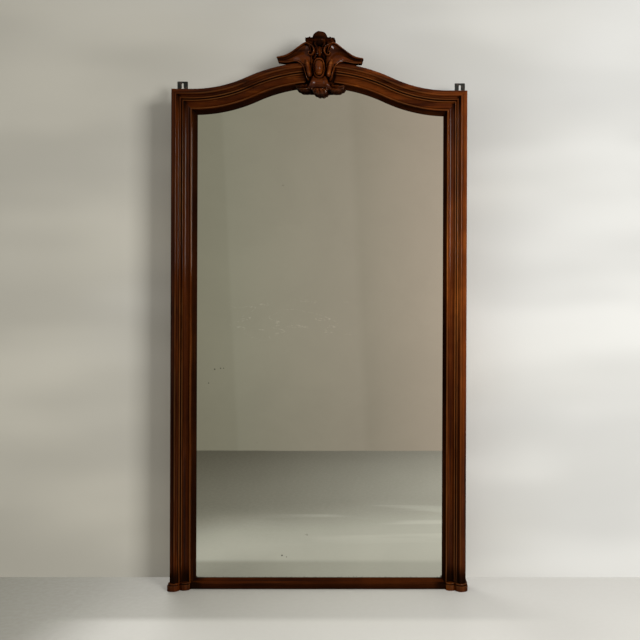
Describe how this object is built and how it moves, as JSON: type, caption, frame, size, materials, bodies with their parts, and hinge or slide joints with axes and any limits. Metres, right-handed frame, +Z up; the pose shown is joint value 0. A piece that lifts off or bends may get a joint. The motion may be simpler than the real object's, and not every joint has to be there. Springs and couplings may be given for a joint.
{
  "type": "floor mirror",
  "caption": "Tall standing mirror with a moulded wooden frame, arched top rail, carved crest, plinth blocks at the foot, a silvered plate, a panelled back and keyhole hanging plates.",
  "frame": {"origin": "centre of the base, on the floor under the middle of the box", "axes": "+Z up, -Y is the mirrored front, +X to the right for someone who faces the mirror"},
  "size_m": [1.199, 0.108, 2.238],
  "materials": {
    "frame_wood": "waxed, dark red-brown",
    "crest_wood": "carved and waxed",
    "back_wood": "planed, unfinished",
    "joint_wood": "planed, unfinished",
    "mirror_plate": "old silvering",
    "plate_iron": "blackened",
    "screw_steel": "dull"
  },
  "bodies": {
    "root": {"back_bottom_rail": "back_wood", "back_muntin": "back_wood", "back_screws": "screw_steel", "back_top_rail": "back_wood", "bottom_rail": "frame_wood", "crest_board": "crest_wood", "crest_cabochon": "crest_wood", "crest_cap": "crest_wood", "crest_drop": "crest_wood", "crest_plaque": "crest_wood", "crest_screws": "screw_steel", "crest_scrolls": "crest_wood", "frame_pegs": "joint_wood", "glazing_blocks": "joint_wood", "left_back_panel_1": "back_wood", "left_back_panel_2": "back_wood", "left_back_panel_3": "back_wood", "left_back_rail_1": "back_wood", "left_back_rail_2": "back_wood", "left_back_stile": "back_wood", "left_hanging_plate": "plate_iron", "left_plinth": "frame_wood", "left_stile": "frame_wood", "left_top_rail": "frame_wood", "mirror_glass": "mirror_plate", "mitre_keys": "joint_wood", "plate_screws": "screw_steel", "plinth_screws": "screw_steel", "right_back_panel_1": "back_wood", "right_back_panel_2": "back_wood", "right_back_panel_3": "back_wood", "right_back_rail_1": "back_wood", "right_back_rail_2": "back_wood", "right_back_stile": "back_wood", "right_hanging_plate": "plate_iron", "right_plinth": "frame_wood", "right_stile": "frame_wood", "right_top_rail": "frame_wood", "setting_blocks": "joint_wood", "top_rail_tenon": "joint_wood"}
  },
  "joints": []
}
